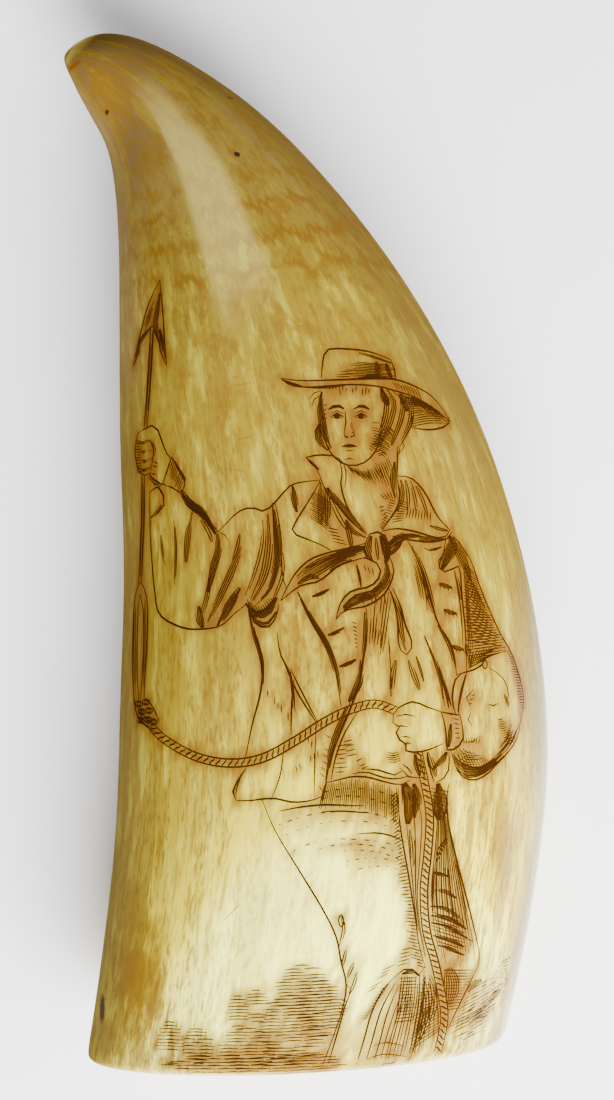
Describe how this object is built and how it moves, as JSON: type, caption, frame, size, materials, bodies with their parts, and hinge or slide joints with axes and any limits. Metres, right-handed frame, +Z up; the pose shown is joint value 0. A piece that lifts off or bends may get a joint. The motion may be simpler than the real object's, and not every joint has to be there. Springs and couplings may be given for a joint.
{
  "type": "scrimshaw whale tooth",
  "caption": "Polished whale tooth lying on its broad side, hooked at the tip and cut flat at the hollow root, with an inked engraving of a whaleman.",
  "frame": {"origin": "on the ground, under the middle of the tooth's bounding box", "axes": "+Y from the root cut to the tip, +Z up out of the engraved side, and the tip hooks towards -X"},
  "size_m": [0.0756, 0.1646, 0.051],
  "materials": {
    "ivory": "aged yellow ivory polished to a soft gloss, browner at the tip and cream near the root, with dark brown ink in fine engraved lines"
  },
  "bodies": {
    "root": {"tooth": "ivory"}
  },
  "joints": []
}
